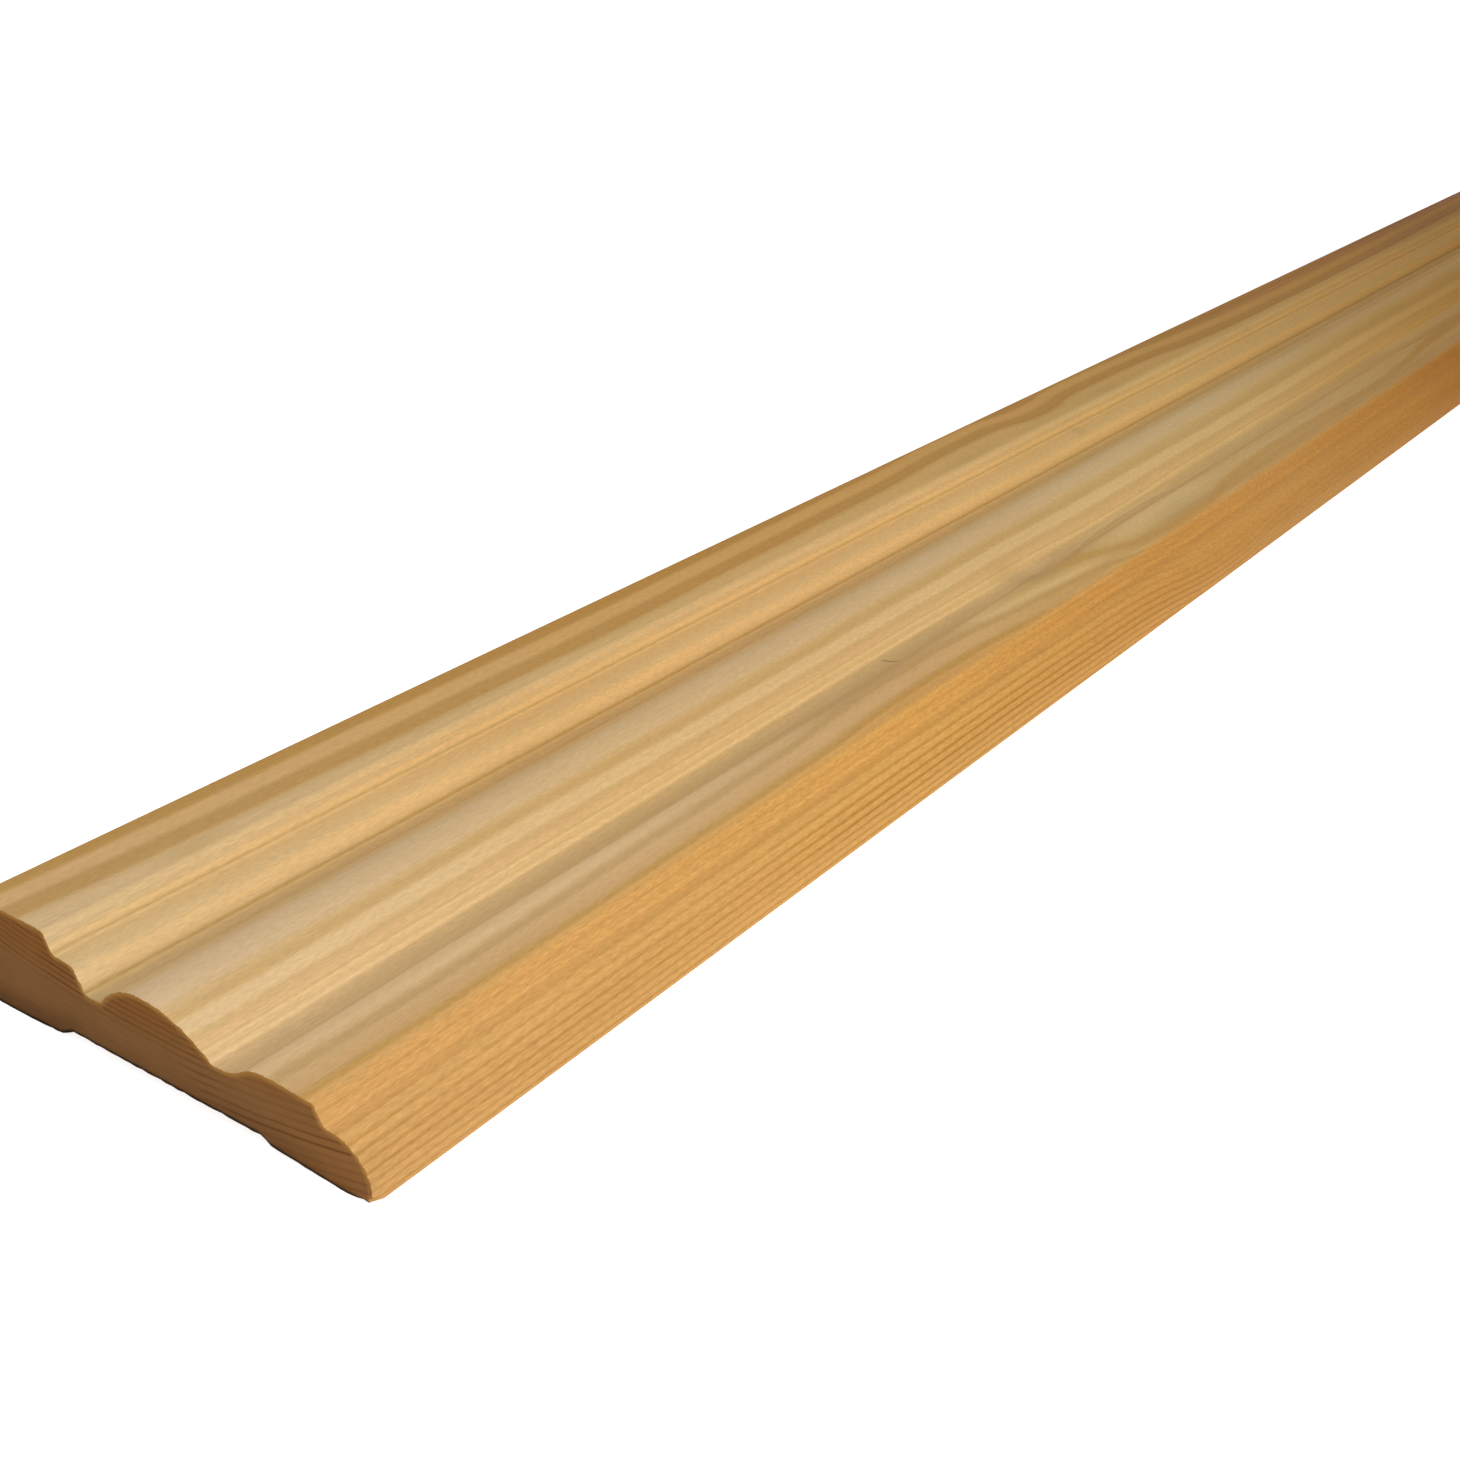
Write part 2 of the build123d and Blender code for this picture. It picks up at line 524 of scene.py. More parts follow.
def run_of_moulding():
    """Runs the section along the length, planes the grain into it and frays the sawn arrises."""
    tree = bpy.data.node_groups.new("Run of moulding", "GeometryNodeTree")
    inputs = {
        "Section": ("Geometry", None),
        "Length": ("Float", length * MM),
        "Stations": ("Int", round(length / station_spacing)),
        "Grain Relief": ("Float", grain_relief * MM),
        "Rim Amount": ("Float", 1.0),
        "Arris Wear": ("Float", arris_wear * MM),
        "Heel Wear": ("Float", heel_wear * MM),
        "Planed": ("Material", None),
        "Sawn": ("Material", None),
    }
    for name, (kind, value) in inputs.items():
        made = tree.interface.new_socket(name, in_out="INPUT", socket_type="NodeSocket" + kind)
        if value is not None:
            made.default_value = value
    tree.interface.new_socket("Board", in_out="OUTPUT", socket_type="NodeSocketGeometry")
    bench = Bench(tree)
    given = bench.node("NodeGroupInput").outputs

    # The section's points keep their place and where they face
    section = bench.result("GeometryNodeMeshToCurve", Mesh=given["Section"])
    keep_place = bench.node("GeometryNodeCaptureAttribute")
    keep_place.capture_items.new("VECTOR", "Place")
    kept_place = bench.fill(keep_place, section, bench.result("GeometryNodeInputPosition"))

    # The stations, with more at each end for the rim of the sawn face
    line = bench.result("GeometryNodeCurvePrimitiveLine", End=(0.0, length * MM, 0.0))
    last = bench.plus(given["Stations"], 2 * rim_stations)
    stations = bench.result("GeometryNodeResampleCurve", Curve=line, Count=bench.plus(last, 1))
    index = bench.result("GeometryNodeInputIndex")
    past_rim = bench.minus(index, rim_stations)
    reached = bench.sum_up("DIVIDE", past_rim, given["Stations"])
    reached = bench.result("ShaderNodeClamp", Value=reached)
    from_middle = bench.minus(reached, 0.5)
    along = bench.times(from_middle, given["Length"])

    # The station next to each end is drawn close to it
    to_end = bench.sum_up("MULTIPLY_ADD", given["Length"], 1 / 2, -end_station * MM)
    to_end = bench.minus(to_end, bench.sum_up("ABSOLUTE", along))
    is_next = bench.sum_up("LESS_THAN", to_end, station_spacing * MM)
    is_next = bench.times(is_next, bench.sum_up("GREATER_THAN", to_end, 0.0))
    moves = bench.times(to_end, is_next, bench.sum_up("SIGN", along))
    along = bench.plus(along, moves)

    # How far into the rim each station lies, from 0 at the arris to 1
    to_near_end = bench.minus(rim_stations, index)
    to_far_end = bench.minus(index, bench.minus(last, rim_stations))
    into_rim = bench.sum_up("MAXIMUM", bench.sum_up("MAXIMUM", to_near_end, to_far_end), 0)
    inside = bench.sum_up("DIVIDE", into_rim, rim_stations)
    keep_station = bench.node("GeometryNodeCaptureAttribute")
    for name in ("Along", "Inside", "From Middle"):
        keep_station.capture_items.new("FLOAT", name)
    stations, along, inside, from_middle = bench.fill(
        keep_station, stations, along, inside, from_middle
    )[:4]
    board = bench.result(
        "GeometryNodeCurveToMesh", Curve=stations, Profile_Curve=kept_place[0], Fill_Caps=True
    )

    # Each point goes to its place in the section at its station
    parts = bench.node("ShaderNodeSeparateXYZ", Vector=kept_place[1]).outputs
    across = parts["X"]
    height = parts["Z"]
    place = bench.result("ShaderNodeCombineXYZ", X=across, Y=along, Z=height)

    # Earlywood lies lower than latewood, and the rim of the sawn face is drawn in
    late = latewood(bench, depth_in_tree(bench, place)[0])
    lowered = bench.times(bench.minus(late, 1.0), given["Grain Relief"])
    named = "GeometryNodeInputNamedAttribute"
    rim = bench.result(named, {"data_type": "FLOAT"}, Name="rim")
    drawn_in = bench.times(rim, inside, given["Rim Amount"])
    at_end = bench.sum_up("GREATER_THAN", bench.sum_up("ABSOLUTE", from_middle), end_reached)
    near_heel = bench.times(
        bench.spread(bench.times(across, 1 / MM), *heel_wear_across),
        bench.spread(bench.times(height, 1 / MM), *heel_wear_heights, 1.0, 0.0),
    )
    worn = bench.times(near_heel, given["Heel Wear"], at_end)
    outward = bench.result(named, {"data_type": "FLOAT_VECTOR"}, Name="outward")
    amount = bench.minus(lowered, drawn_in)
    scale = {"operation": "SCALE"}
    moved = bench.result("ShaderNodeVectorMath", scale, Vector=outward, Scale=amount)
    place = bench.vector_sum("ADD", place, moved)
    shift = bench.result("ShaderNodeCombineXYZ", X=bench.times(worn, -1.0), Z=worn)
    place = bench.vector_sum("ADD", place, shift)

    # The arris of each sawn end is set back by a ragged amount
    past_arris = bench.sum_up("GREATER_THAN", inside, arris_share)
    on_arris = bench.minus(at_end, past_arris)
    ragged = bench.drift(place, wear_grain, wear_grain, octaves=1.0)
    ragged = bench.spread(ragged, *ragged_between)
    set_back = bench.plus(bench.times(ragged, given["Arris Wear"]), worn)
    side = bench.sum_up("SIGN", from_middle)
    shift = bench.times(set_back, on_arris, side, -1.0)
    place = bench.vector_sum("ADD", place, bench.result("ShaderNodeCombineXYZ", Y=shift))
    run = bench.result("GeometryNodeSetPosition", Geometry=board, Position=place)
    run = bench.result(
        "GeometryNodeStoreNamedAttribute",
        {"data_type": "FLOAT", "domain": "POINT"},
        Geometry=run,
        Name="inside",
        Value=inside,
    )

    # Planed sides are smooth, sawn ends are flat
    normal = bench.result("GeometryNodeInputNormal")
    facing = bench.node("ShaderNodeSeparateXYZ", Vector=normal).outputs["Y"]
    end_face = bench.sum_up("GREATER_THAN", bench.sum_up("ABSOLUTE", facing), end_facing)
    side_face = bench.minus(1.0, end_face)
    smooth = bench.result("GeometryNodeSetShadeSmooth", Geometry=run, Shade_Smooth=side_face)
    real = bench.result("GeometryNodeRealizeInstances", Geometry=smooth)
    planed = bench.result("GeometryNodeSetMaterial", Geometry=real, Material=given["Planed"])
    sawn = bench.result(
        "GeometryNodeSetMaterial", Geometry=planed, Selection=end_face, Material=given["Sawn"]
    )
    bench.fill(bench.node("NodeGroupOutput"), sawn)
    return tree


def read_all(items, name, parts=1, kind=np.float64):
    """One value, or a few parts of it, for each item of a mesh."""
    values = np.zeros(len(items) * parts, dtype=kind)
    items.foreach_get(name, values)
    return values.reshape(-1, parts) if parts > 1 else values


def lay_out_sides_and_ends(mesh, girth_total):
    """The map that the board's looks are baked on: the sides unrolled, with both ends above them."""
    margin = 0.006
    sides_top = 0.91
    ends_bottom = 0.925
    near_seam = girth_total / 4
    corner = read_all(mesh.loops, "vertex_index", kind=np.int64)
    places = read_all(mesh.vertices, "co", 3)[corner]
    girth = read_all(mesh.attributes["girth"].data, "value")[corner]
    totals = read_all(mesh.polygons, "loop_total", kind=np.int64)
    end_faces = np.abs(read_all(mesh.polygons, "normal", 3)[:, 1]) > end_facing
    face_of = np.repeat(np.arange(len(totals)), totals)
    farthest = np.zeros(len(totals))
    np.maximum.at(farthest, face_of, girth)
    over_seam = (farthest[face_of] > girth_total - near_seam) & (girth < near_seam)
    girth = girth + girth_total * over_seam
    board = length * MM
    u = margin + girth / girth_total * (1 - 2 * margin)
    v = margin + (places[:, 1] / board + 0.5) * (sides_top - 2 * margin)
    on_end = end_faces[face_of]
    end_u = margin + (places[:, 0] / (width * MM) + 0.5) * (0.5 - 2 * margin)
    end_u = end_u + 0.5 * (places[:, 1] > 0)
    end_v = ends_bottom + places[:, 2] / (thickness * MM) * (1 - margin - ends_bottom)
    u = np.where(on_end, end_u, u)
    v = np.where(on_end, end_v, v)
    layer = mesh.uv_layers.new(name="OFBake")
    layer.data.foreach_set("uv", np.stack([u, v], axis=1).ravel())


def make_board(planed, sawn):
    """The architrave as one plain mesh."""
    outline = section_outline()
    girth_total = sum(math.dist(outline[i - 1], outline[i]) for i in range(len(outline)))
    section = section_mesh(outline)
    board = bpy.data.objects.new("architrave_board", section)
    bpy.context.scene.collection.objects.link(board)
    modifier = board.modifiers.new("run", "NODES")
    modifier.node_group = run_of_moulding()
    sockets = modifier.node_group.interface.items_tree
    for name, value in (("Length", length * MM), ("Planed", planed), ("Sawn", sawn)):
        modifier[sockets[name].identifier] = value
    seen = board.evaluated_get(bpy.context.evaluated_depsgraph_get())
    mesh = bpy.data.meshes.new_from_object(seen)
    board.modifiers.remove(modifier)
    board.data = mesh
    mesh.name = "architrave_board"
    lay_out_sides_and_ends(mesh, girth_total)
    for name in ("girth", "outward", "rim"):
        mesh.attributes.remove(mesh.attributes[name])
    return board


# Tones of the wood, as the light they give back in red, green and blue
pale_straw = (0.75, 0.52, 0.265)
grey_straw = (0.73, 0.512, 0.28)
bright_straw = (0.80, 0.54, 0.26)
clear_straw = (0.785, 0.51, 0.23)
warm_straw = (0.74, 0.465, 0.20)
straw = (0.70, 0.465, 0.22)
warm_pale = (0.685, 0.43, 0.205)
soft_brown = (0.655, 0.43, 0.195)
valley_grey = (0.655, 0.443, 0.213)
tan_streak = (0.64, 0.41, 0.175)
brown_streak = (0.575, 0.355, 0.147)
dark_gold = (0.585, 0.345, 0.12)
gold_edge = (0.565, 0.315, 0.09)
light_edge = (0.71, 0.40, 0.14)
# The thin and the shadow line are painted shade, for the creases at the feet of ledge and bead
thin_shade_line = (0.56, 0.345, 0.13)
shadow_line = (0.47, 0.28, 0.09)
orange = (0.60, 0.322, 0.104)
light_orange = (0.65, 0.355, 0.118)
deep_orange = (0.585, 0.312, 0.10)

# Depth in the tree at which each tone is reached, for each strip of the board's width, and where
# across the board each strip after the first starts
tones_on_strips = {
    "plain flat": [
        (162.9, pale_straw), (163.4, straw), (163.7, dark_gold), (164.6, dark_gold),
        (165.1, warm_straw), (166.1, warm_straw), (166.6, gold_edge),
    ],
    "ledge, bead and back of the torus": [
        (162.4, straw), (163.2, pale_straw), (163.9, clear_straw), (166.2, clear_straw),
        (166.8, bright_straw), (167.6, clear_straw), (168.4, straw), (169.0, soft_brown),
    ],
    "front of the torus and valley": [
        (163.0, grey_straw), (163.4, grey_straw), (163.7, straw), (164.05, tan_streak),
        (164.5, tan_streak), (164.85, pale_straw), (165.9, pale_straw), (166.3, soft_brown),
        (166.7, soft_brown), (167.0, warm_pale), (167.75, straw), (168.05, tan_streak),
        (168.3, pale_straw), (168.7, straw), (168.95, straw), (169.15, valley_grey), (169.3, straw),
        (169.75, pale_straw), (170.0, straw), (170.25, valley_grey),
    ],
    "swell": [
        (164.9, pale_straw), (166.0, straw), (166.8, tan_streak), (167.2, dark_gold),
        (167.7, dark_gold), (168.05, tan_streak), (168.45, straw), (168.8, pale_straw),
        (169.05, straw), (169.4, brown_streak), (169.7, brown_streak), (169.95, soft_brown),
        (170.4, warm_pale), (170.75, warm_pale), (171.15, brown_streak), (171.4, gold_edge),
        (171.65, gold_edge), (171.95, light_edge), (172.4, orange),
    ],
}
strip_starts = [-29.0, -7.0, 21.0]
strip_fade = 3.0

# The thick edge, which keeps its own colour all along: the face begins here across the board, and
# the face's tints fade out below it between these heights
face_from_across = -46.5
edge_heights = (12.0, 20.0)

# The heartwood's own tones, from its light edge inwards
heart_tones = [
    (171.7, light_edge), (172.1, light_edge), (172.6, orange), (174.8, orange),
    (176.0, light_orange), (178.5, light_orange), (181.0, deep_orange), (184.5, deep_orange),
    (187.0, light_orange),
]
shallowest = 160.0
deepest = 190.0
heart_starts = (171.35, 172.2)

# Streaks that show on part of a strip only: how deep they start and end and how softly, where across
# the board they start and end and how softly, and their tone. All but the first are painted shade, in
# the creases at the feet of the ledge and the bead and on the bead's round turn
part_streaks = {
    "lines on the ledge's wall": (163.3, 164.35, 0.2, -27.75, -26.55, 0.4, straw),
    "painted shade at the ledge's foot": (164.6, 165.9, 0.3, -26.2, -25.8, 0.3, thin_shade_line),
    "painted shade on the turn of the bead": (165.1, 166.3, 0.2, -22.05, -20.35, 0.8, straw),
    "painted shadow at the foot of the bead": (168.4, 169.8, 0.3, -18.75, -18.35, 0.3, shadow_line),
}

# The swell's rise is painted lighter than its level top, a painted highlight where it faces the
# light. A golden fringe runs beside the heartwood, between these depths. It starts past the valley,
# where the same depth is met again, and grows along the board.
rise_across = (17.6, 23.3)
rise_fade = 2.2
rise_painted_light = 0.13
fringe_depths = (170.2, 171.7)
fringe_fade = 0.55
fringe_starts = (21.0, 25.0)
fringe_grows = (180.0, 380.0)
fringe_shares = (0.3, 0.9)

# The tint that latewood lays over its ring, and how strongly it shows: less in the sapwood and near its
# boundary than deep in the heartwood, less in some stretches than in others, and faded far along
late_tint = (0.64, 0.55, 0.33)
late_in_sapwood = 0.05
late_in_heartwood = 1.0
late_near_boundary = 0.35
rings_strengthen = (176.5, 179.0)
clear_along = 140.0
least_clear = 0.6
rings_fade = (-780.0, -690.0)
faded = 0.45

# Fibres and pores along the grain, and clouds of colour
fibre_across = 0.5
fibre_along = 14.0
fibre_contrast = 0.06
fine_fibre_across = 0.3
fine_fibre_along = 1.9
fine_in_sapwood = 0.2
fine_in_heartwood = 0.3
cloud_across = 14.0
cloud_along = 90.0
cloud_contrast = 0.06
fibre_bump = 0.02

# How rough the wood is, how much its surface shines, and the middle range of a drift's noise
early_roughness = 0.62
late_roughness = 0.5
planed_shine = 0.1
sawn_roughness = 0.85
sawn_shine = 0.05
noise_swing = 0.3

# The near end is paler, and from there the colour deepens along the board into gold and amber: partly
# the wood's own colour and partly painted light and shade, the light falling off from the near end
# along the board. Each tint says what share of red, green and blue is given back.
lit_pale_near_end = (1.04, 1.07, 1.12)
cool = (0.98, 1.05, 1.12)
lightest = (1.09, 1.10, 0.96)
clear = (1.04, 1.03, 0.84)
plain = (0.97, 0.95, 0.86)
honey = (0.97, 0.89, 0.64)
gold = (0.95, 0.81, 0.44)
deep_gold = (0.89, 0.72, 0.31)
amber = (0.86, 0.63, 0.20)
shaded_amber = (0.63, 0.415, 0.045)

# How far from the near end each strip of the board's width reaches its tints. Past the middle it
# goes back to the plain one.
tints_and_painted_falloff_on_strips = {
    "plain flat": [
        (0, lit_pale_near_end), (90, plain), (210, honey), (480, gold), (640, amber), (750, shaded_amber),
        (820, shaded_amber), (1010, plain),
    ],
    "ledge, bead and back of the torus": [
        (0, cool), (110, plain), (220, plain), (440, clear), (770, gold), (810, gold),
        (1000, plain),
    ],
    "front of the torus and valley": [
        (0, lit_pale_near_end), (110, plain), (220, plain), (410, clear), (560, gold), (640, deep_gold),
        (680, deep_gold), (910, plain),
    ],
    "swell": [
        (0, lit_pale_near_end), (100, lit_pale_near_end), (190, plain), (260, clear), (400, lightest), (560, gold),
        (640, gold), (840, plain),
    ],
}
heart_tints_and_painted_falloff = [
    (0, lit_pale_near_end), (160, clear), (290, honey), (390, honey), (470, gold), (560, amber), (640, amber),
    (840, plain),
]

# Small marks on the face: where they start and end across the board and how softly, where along it
# they lie, how far they reach along it, their tone and how strongly it shows
marks = {
    "dark fleck in the valley": (14.7, 19.2, 0.5, -854.0, 0.6, (0.14, 0.08, 0.035), 0.75),
    "trace of the branch on the ledge": (-26.0, -20.8, 0.8, -680.0, 5.0, (0.58, 0.36, 0.13), 0.4),
    "shade of the branch in the valley": (8.0, 26.0, 3.0, -790.0, 10.0, (0.56, 0.36, 0.14), 0.5),
    "shade beside the flame": (25.5, 31.5, 2.0, -722.0, 34.0, (0.40, 0.27, 0.12), 0.28),
    "near patch before the ledge": (-32.0, -28.6, 1.2, -1016.0, 14.0, (0.60, 0.39, 0.14), 0.4),
    "middle patch before the ledge": (-32.0, -28.6, 1.2, -736.0, 26.0, (0.60, 0.39, 0.14), 0.45),
    "far patch before the ledge": (-32.5, -28.6, 1.2, -645.0, 18.0, (0.60, 0.39, 0.14), 0.45),
}


def blend(bench, share, colour, other, how="MIX"):
    """One colour laid over another by a share."""
    settings = {"data_type": "RGBA", "blend_type": how}
    made = bench.node("ShaderNodeMix", settings, Factor=share, A=colour, B=other)
    return next(socket for socket in made.outputs if socket.enabled)


def tone_at(bench, value, lowest, highest, tones):
    """The tone at a depth or a distance, from a list of such values and their tones."""
    ramp = bench.node("ShaderNodeValToRGB", Fac=bench.spread(value, lowest, highest, ease="LINEAR"))
    stops = ramp.color_ramp.elements
    while len(stops) < len(tones):
        stops.new(1.0)
    for stop, (reached, tone) in zip(stops, tones):
        stop.position = (reached - lowest) / (highest - lowest)
        stop.color = (*tone, 1.0)
    return ramp.outputs["Color"]


def strip_by_strip(bench, across, colours):
    """One colour for each strip of the board's width, melting into the next."""
    colour, *others = colours
    for start, other in zip(strip_starts, others):
        past = bench.spread(across, start - strip_fade / 2, start + strip_fade / 2)
        colour = blend(bench, past, colour, other)
    return colour


def between(bench, value, starts, ends, fade):
    """1 where a value lies between two others and 0 elsewhere, fading over the edges."""
    enters = bench.spread(value, starts - fade, starts + fade)
    leaves = bench.spread(value, ends - fade, ends + fade, 1.0, 0.0)
    return bench.times(enters, leaves)


def sapwood_tone(bench, depth, across, along, height):
    """The sapwood's tone by its depth in the tree and its place on the board."""
    tones = [tone_at(bench, depth, shallowest, deepest, tones) for tones in tones_on_strips.values()]
    colour = strip_by_strip(bench, across, tones)
    # Some of these streaks are painted shade, in the creases and on the bead's round turn
    for starts, ends, fade, across_from, across_to, across_fade, tone in part_streaks.values():
        in_depth = between(bench, depth, starts, ends, fade)
        in_width = between(bench, across, across_from, across_to, across_fade)
        colour = blend(bench, bench.times(in_depth, in_width), colour, tone)
    # Painted light on the swell's rise, where it faces the lamps
    lighter = between(bench, across, *rise_across, rise_fade)
    colour = shade(bench, colour, lighter, rise_painted_light)
    # The tints along the board hold painted shade where the light falls off away from the near end
    tints = [tone_at(bench, along, 0.0, length, tints) for tints in tints_and_painted_falloff_on_strips.values()]
    on_edge = bench.spread(across, -width / 2, face_from_across, 1.0, 0.0)
    below_face = bench.spread(height, *edge_heights, 1.0, 0.0)
    tinted = bench.minus(1.0, bench.times(on_edge, below_face))
    return blend(bench, tinted, colour, strip_by_strip(bench, across, tints), "MULTIPLY")


def heartwood_tone(bench, depth, along):
    """The heartwood's tone by its depth in the tree and how far along the board it lies."""
    colour = tone_at(bench, depth, shallowest, deepest, heart_tones)
    # The tints along the board hold painted shade where the light falls off away from the near end
    return blend(bench, 1.0, colour, tone_at(bench, along, 0.0, length, heart_tints_and_painted_falloff), "MULTIPLY")


def put_marks(bench, colour, across, along, height):
    """Lays the small marks over the face."""
    for across_from, across_to, fade, place, reach, tone, strength in marks.values():
        in_width = between(bench, across, across_from, across_to, fade)
        in_length = between(bench, along, place - reach / 2, place + reach / 2, reach / 2)
        on_face = bench.spread(height, nose_square, quirk_depth, 0.0, strength)
        colour = blend(bench, bench.times(in_width, in_length, on_face), colour, tone)
    return colour


def shade(bench, colour, amount, contrast=1.0):
    """A colour made lighter or darker by an amount either side of nought."""
    grey = bench.plus(bench.times(amount, contrast), 1.0)
    grey = bench.result("ShaderNodeCombineXYZ", X=grey, Y=grey, Z=grey)
    return bench.vector_sum("MULTIPLY", colour, grey)


def start_material(name):
    """A new material, the bench for its nodes, and the place, as a point and in millimetres."""
    made = bpy.data.materials.new(name)
    made.use_nodes = True
    bench = Bench(made.node_tree)
    place = bench.node("ShaderNodeTexCoord").outputs["Object"]
    in_mm = bench.vector_sum("MULTIPLY", place, (1 / MM, 1 / MM, 1 / MM))
    measured = bench.node("ShaderNodeSeparateXYZ", Vector=in_mm).outputs
    return made, bench, place, measured, made.node_tree.nodes["Principled BSDF"]


def finish_material(bench, shader, colour, roughness, shine, relief, bump_depth):
    """Gives a material its colour, its shine and its fine relief."""
    bump = bench.result("ShaderNodeBump", Strength=1.0, Distance=bump_depth * MM, Height=relief)
    looks = {"Base Color": colour, "Roughness": roughness, "Specular IOR Level": shine, "Normal": bump}
    for name, source in looks.items():
        bench.feed(shader.inputs[name], source)


def planed_softwood():
    """Planed and moulded sapwood and heartwood, with its rings, fibres and soft clouds of colour."""
    made, bench, place, measured, shader = start_material("planed softwood")
    across, along, height = measured
    depth, steady = depth_in_tree(bench, place)
    late = latewood(bench, depth)
    from_near_end = bench.plus(along, length / 2)
    colour = sapwood_tone(bench, depth, across, from_near_end, height)
    fringe = between(bench, steady, *fringe_depths, fringe_fade)
    fringe_share = bench.spread(from_near_end, *fringe_grows, *fringe_shares)
    past_valley = bench.spread(across, *fringe_starts)
    fringe = bench.times(fringe, past_valley, fringe_share)
    colour = blend(bench, fringe, colour, gold_edge)
    in_heart = bench.spread(steady, *heart_starts)
    colour = blend(bench, in_heart, colour, heartwood_tone(bench, steady, from_near_end))
    strong = bench.spread(depth, *rings_strengthen, late_near_boundary, late_in_heartwood)
    contrast = bench.spread(in_heart, 0.0, 1.0, late_in_sapwood, strong, "LINEAR")
    clearness = bench.drift(place, cloud_across, clear_along)
    clearness = bench.spread(clearness, -noise_swing, noise_swing, least_clear, 1.0)
    fading = bench.spread(along, *rings_fade, 1.0, faded)
    contrast = bench.times(late, contrast, clearness, fading)
    colour = blend(bench, contrast, colour, late_tint, "MULTIPLY")
    fibres = bench.drift(place, fibre_across, fibre_along)
    colour = shade(bench, colour, fibres, fibre_contrast)
    fine = bench.drift(place, fine_fibre_across, fine_fibre_along)
    fine_contrast = bench.spread(in_heart, 0.0, 1.0, fine_in_sapwood, fine_in_heartwood, "LINEAR")
    colour = shade(bench, colour, fine, fine_contrast)
    clouds = bench.drift(place, cloud_across, cloud_along)
    colour = shade(bench, colour, clouds, cloud_contrast)
    colour = put_marks(bench, colour, across, along, height)
    roughness = bench.spread(late, 0.0, 1.0, early_roughness, late_roughness, "LINEAR")
    relief = bench.plus(fibres, fine)
    finish_material(bench, shader, colour, roughness, planed_shine, relief, fibre_bump)
    return made


# Tones of the sawn end
end_early = (0.41, 0.193, 0.069)
end_late = (0.20, 0.08, 0.024)
end_fuzz_size = 0.25
end_fuzz_contrast = 0.3
end_cloud_size = 9.0
end_cloud_contrast = 0.16
end_patch_size = 11.0
end_bump = 0.05

# Its rings show down to a depth that changes across the board, clearer in some patches than in others
# and fainter towards the nose, where one strong pair stays
clear_down_to = (170.5, 190.0)
clear_across = (0.0, 25.0)
clear_fade = 1.5
least_clear_ring = 0.1
least_clear_patch = 0.55
fainter_across = (2.0, 22.0)
fainter_share = 0.45
strong_pair_depths = (175.5, 177.6)
strong_pair_fade = 0.3
strong_pair_across = (12.0, 22.0)
strong_pair_share = 0.6

# On the end the rings are a little wider than circles, and so look flatter
end_ring_squeeze = 0.9

# It is redder towards the face and lighter towards the nose
end_red_depths = (164.0, 173.0)
end_red = (1.06, 0.92, 0.68)
lighter_across = (22.0, 42.0)
end_lighter = (1.16, 1.1, 1.0)

# The arris of the face is fuzzy and golden. Along the back the end has painted shade, nearly black at
# the edge where it meets the floor, and above that a lighter painted shade, more on its left
rim_gold = (0.73, 0.355, 0.085)
rim_gold_share = 0.95
rim_fuzz = 0.6
rim_heights = (2.0, 6.0)
painted_shade_heights = (0.2, 1.15)
back_painted_shade = 0.06
low_shade_heights = (1.0, 6.5)
left_across = (-28.0, -16.0)
low_shades = (-0.34, -0.14)


def back_of_board(bench, across):
    """Height of the board's back over the wall, in millimetres, with its hollow."""
    strip_end = thick_foot_strip - width / 2
    hollow_start = thick_foot - width / 2
    hollow_reached = hollow_start + hollow_run(hollow_depth - thick_foot_back_off)
    opens = bench.spread(across, strip_end, hollow_start, 0.0, thick_foot_back_off, "LINEAR")
    more = hollow_depth - thick_foot_back_off
    rises = bench.spread(across, hollow_start, hollow_reached, 0.0, more, "LINEAR")
    rises = bench.plus(opens, rises)
    foot_start = width / 2 - thin_foot
    slope = hollow_run(hollow_depth - thin_foot_back_off)
    low = thin_foot_back_off
    falls = bench.spread(across, foot_start - slope, foot_start, hollow_depth, low, "LINEAR")
    closes = bench.spread(across, foot_start, width / 2 - thin_foot_strip, 0.0, low, "LINEAR")
    return bench.sum_up("MINIMUM", rises, bench.minus(falls, closes))


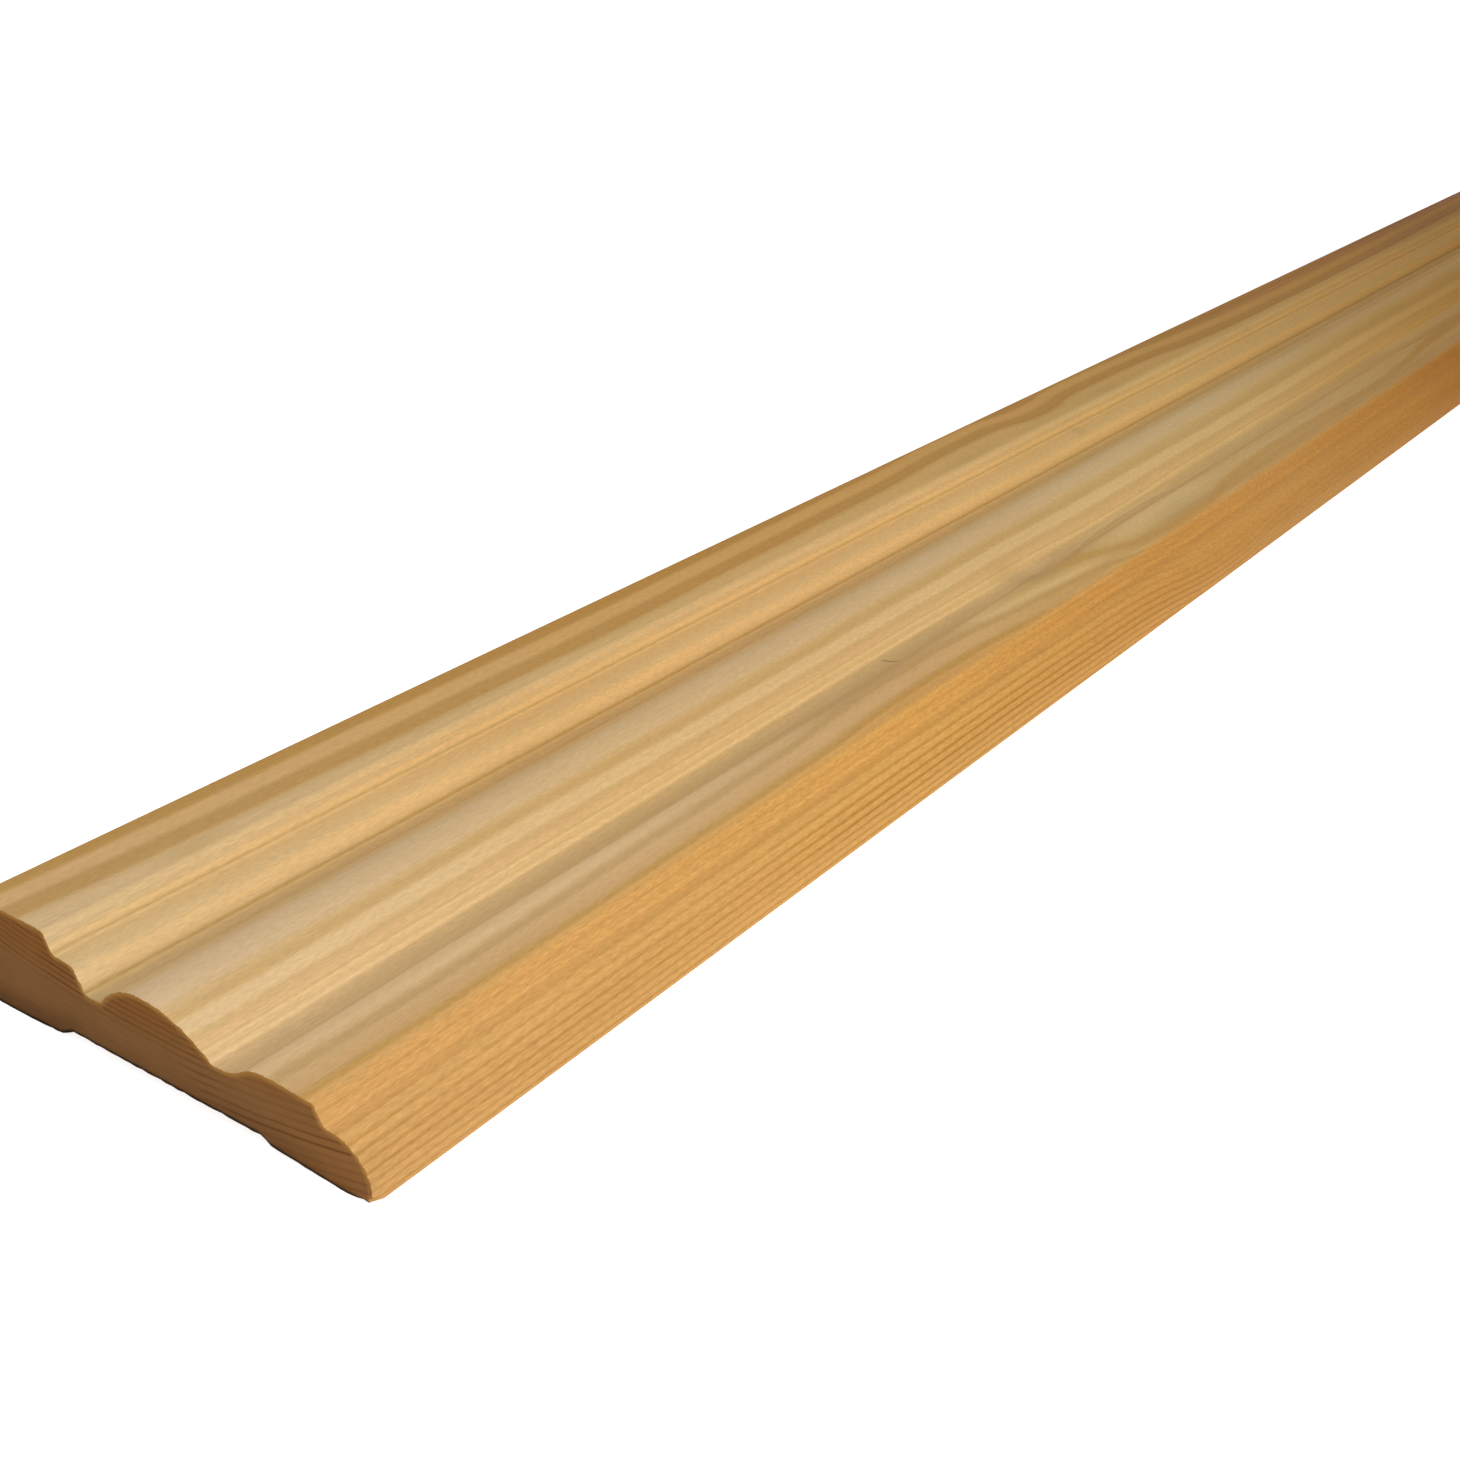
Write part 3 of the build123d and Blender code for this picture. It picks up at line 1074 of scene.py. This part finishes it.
def sawn_end():
    """Sawn end grain, drinking the light, with its rings, golden arris and painted back shade."""
    made, bench, place, measured, shader = start_material("sawn end grain")
    across = measured["X"]
    height = measured["Z"]
    depth = depth_in_tree(bench, place, end_ring_squeeze)[0]
    late = latewood(bench, depth)
    patches = bench.drift(place, end_patch_size, end_patch_size)
    clearness = bench.spread(patches, -noise_swing, noise_swing, least_clear_patch, 1.0)
    clear_to = bench.spread(across, *clear_across, *clear_down_to)
    below = bench.minus(depth, clear_to)
    above = bench.spread(below, -clear_fade, clear_fade, 1.0, least_clear_ring)
    fainter = bench.spread(across, *fainter_across, 1.0, fainter_share)
    clearness = bench.times(clearness, above, fainter)
    strong_pair = between(bench, depth, *strong_pair_depths, strong_pair_fade)
    on_right = bench.spread(across, *strong_pair_across, 0.0, strong_pair_share)
    clearness = bench.sum_up("MULTIPLY_ADD", strong_pair, on_right, clearness)
    colour = blend(bench, bench.times(late, clearness), end_early, end_late)
    redder = bench.spread(depth, *end_red_depths, 1.0, 0.0)
    colour = blend(bench, redder, colour, end_red, "MULTIPLY")
    lighter = bench.spread(across, *lighter_across)
    colour = blend(bench, lighter, colour, end_lighter, "MULTIPLY")
    fuzz = bench.drift(place, end_fuzz_size, end_fuzz_size)
    colour = shade(bench, colour, fuzz, end_fuzz_contrast)
    clouds = bench.drift(place, end_cloud_size, end_cloud_size)
    colour = shade(bench, colour, clouds, end_cloud_contrast)
    inside = bench.node("ShaderNodeAttribute", {"attribute_name": "inside"}).outputs["Fac"]
    fuzzy_inside = bench.sum_up("MULTIPLY_ADD", fuzz, rim_fuzz, inside)
    golden = bench.spread(fuzzy_inside, 0.0, 1.0, rim_gold_share, 0.0, "LINEAR")
    on_face = bench.spread(height, *rim_heights)
    colour = blend(bench, bench.times(golden, on_face), colour, rim_gold)
    # Painted shade, darkest along the back edge and fading above it, more on the left
    from_back = bench.minus(height, back_of_board(bench, across))
    painted_back_shade = bench.spread(from_back, *painted_shade_heights, back_painted_shade - 1.0, 0.0)
    colour = shade(bench, colour, painted_back_shade)
    low = bench.spread(from_back, *low_shade_heights, 1.0, 0.0)
    low_amount = bench.spread(across, *left_across, *low_shades)
    colour = shade(bench, colour, low, low_amount)
    relief = bench.plus(fuzz, late)
    finish_material(bench, shader, colour, sawn_roughness, sawn_shine, relief, end_bump)
    return made


planed = planed_softwood()
sawn = sawn_end()
board = make_board(planed, sawn)


# The camera stands off the nose's near end, as the photograph's did, and looks down along the board
camera_lens = 46.6
camera_heading = 36.14
camera_down = 25.96
camera_sees_from = 0.01
near_nose_heel = Vector((width / 2 * MM, -length / 2 * MM, 0.0))
camera_from_heel = Vector((0.1752, -0.1490, 0.1887))


def set_up_camera():
    """The camera, at the photograph's place and angle."""
    data = bpy.data.cameras.new("camera")
    data.lens = camera_lens
    data.clip_start = camera_sees_from
    camera = bpy.data.objects.new("camera", data)
    camera.location = near_nose_heel + camera_from_heel
    camera.rotation_euler = (math.radians(90 - camera_down), 0.0, math.radians(camera_heading))
    bpy.context.scene.collection.objects.link(camera)
    bpy.context.scene.camera = camera


# The key lamp hangs to the right of the near end, so its light falls off along the board, and the fill
# lamp softens its shadows. The far lamp is long, lies along the far half and shines straight down in a
# narrow fan, and the room gives the rest. Each has its place, what it aims at, its size and its power,
# and the far lamp how far it runs and the angle its light opens by.
lamps = {
    "key lamp": ((0.44, -0.96, 0.36), (0.0, -0.93, 0.01), 0.35, 2.4),
    "fill lamp": ((-0.1, -1.16, 0.62), (0.0, -1.0, 0.0), 0.5, 0.75),
    "far lamp": ((0.12, 0.59, 0.38), (0.12, 0.589, 0.0), 0.5, 0.85, 1.2, 95.0),
}
lamp_colour = (1.0, 0.98, 0.95)
room_strength = 0.22
backdrop_white = (1.0, 1.0, 1.0)


def hang_lamp(name, place, aims_at, size, power, run=None, opening=180.0):
    """A soft lamp, aimed at a point. It is square, or runs this far, and its light opens by an angle."""
    data = bpy.data.lights.new(name, "AREA")
    data.shape = "RECTANGLE"
    data.size = size
    data.size_y = run or size
    data.energy = power
    data.color = lamp_colour
    data.spread = math.radians(opening)
    lamp = bpy.data.objects.new(name, data)
    lamp.location = place
    towards = Vector(aims_at) - Vector(place)
    lamp.rotation_euler = towards.to_track_quat("-Z", "Y").to_euler()
    bpy.context.scene.collection.objects.link(lamp)


def seen_directly(bench):
    """1 for what the camera sees itself, in a mirror or through glass, and 0 for light on things."""
    path = bench.node("ShaderNodeLightPath").outputs
    mirrored = bench.sum_up("MAXIMUM", path["Is Glossy Ray"], path["Is Transmission Ray"])
    return bench.sum_up("MAXIMUM", path["Is Camera Ray"], mirrored)


def light_the_room():
    """An even pale room that shows as white."""
    world = bpy.data.worlds.new("room")
    world.use_nodes = True
    bpy.context.scene.world = world
    bench = Bench(world.node_tree)
    background = world.node_tree.nodes["Background"]
    bench.feed(background.inputs["Color"], backdrop_white)
    strength = bench.spread(seen_directly(bench), 0.0, 1.0, room_strength, 1.0, "LINEAR")
    bench.feed(background.inputs["Strength"], strength)


# The floor shows nearly white whatever light it gets, and still takes the board's shadow
floor_reach = 20.0
floor_colour = (0.8, 0.8, 0.8)
floor_glow = 0.86


def lay_floor():
    """A plain pale floor under the board."""
    mesh = bpy.data.meshes.new("floor")
    reach = floor_reach
    corners = [(-reach, -reach, 0.0), (reach, -reach, 0.0), (reach, reach, 0.0), (-reach, reach, 0.0)]
    mesh.from_pydata(corners, [], [(0, 1, 2, 3)])
    floor = bpy.data.objects.new("floor", mesh)
    bpy.context.scene.collection.objects.link(floor)
    paint = bpy.data.materials.new("pale floor")
    paint.use_nodes = True
    tree = paint.node_tree
    tree.nodes.clear()
    bench = Bench(tree)
    matt = bench.result("ShaderNodeBsdfDiffuse", Color=floor_colour)
    glow_strength = bench.times(seen_directly(bench), floor_glow)
    glow = bench.result("ShaderNodeEmission", Color=backdrop_white, Strength=glow_strength)
    both = bench.fill(bench.node("ShaderNodeAddShader"), matt, glow)[0]
    bench.node("ShaderNodeOutputMaterial", Surface=both)
    mesh.materials.append(paint)


set_up_camera()
for name, lamp in lamps.items():
    hang_lamp(name, *lamp)
light_the_room()
lay_floor()
bpy.context.scene.view_settings.view_transform = "Standard"

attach(board, "root")
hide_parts("architrave")
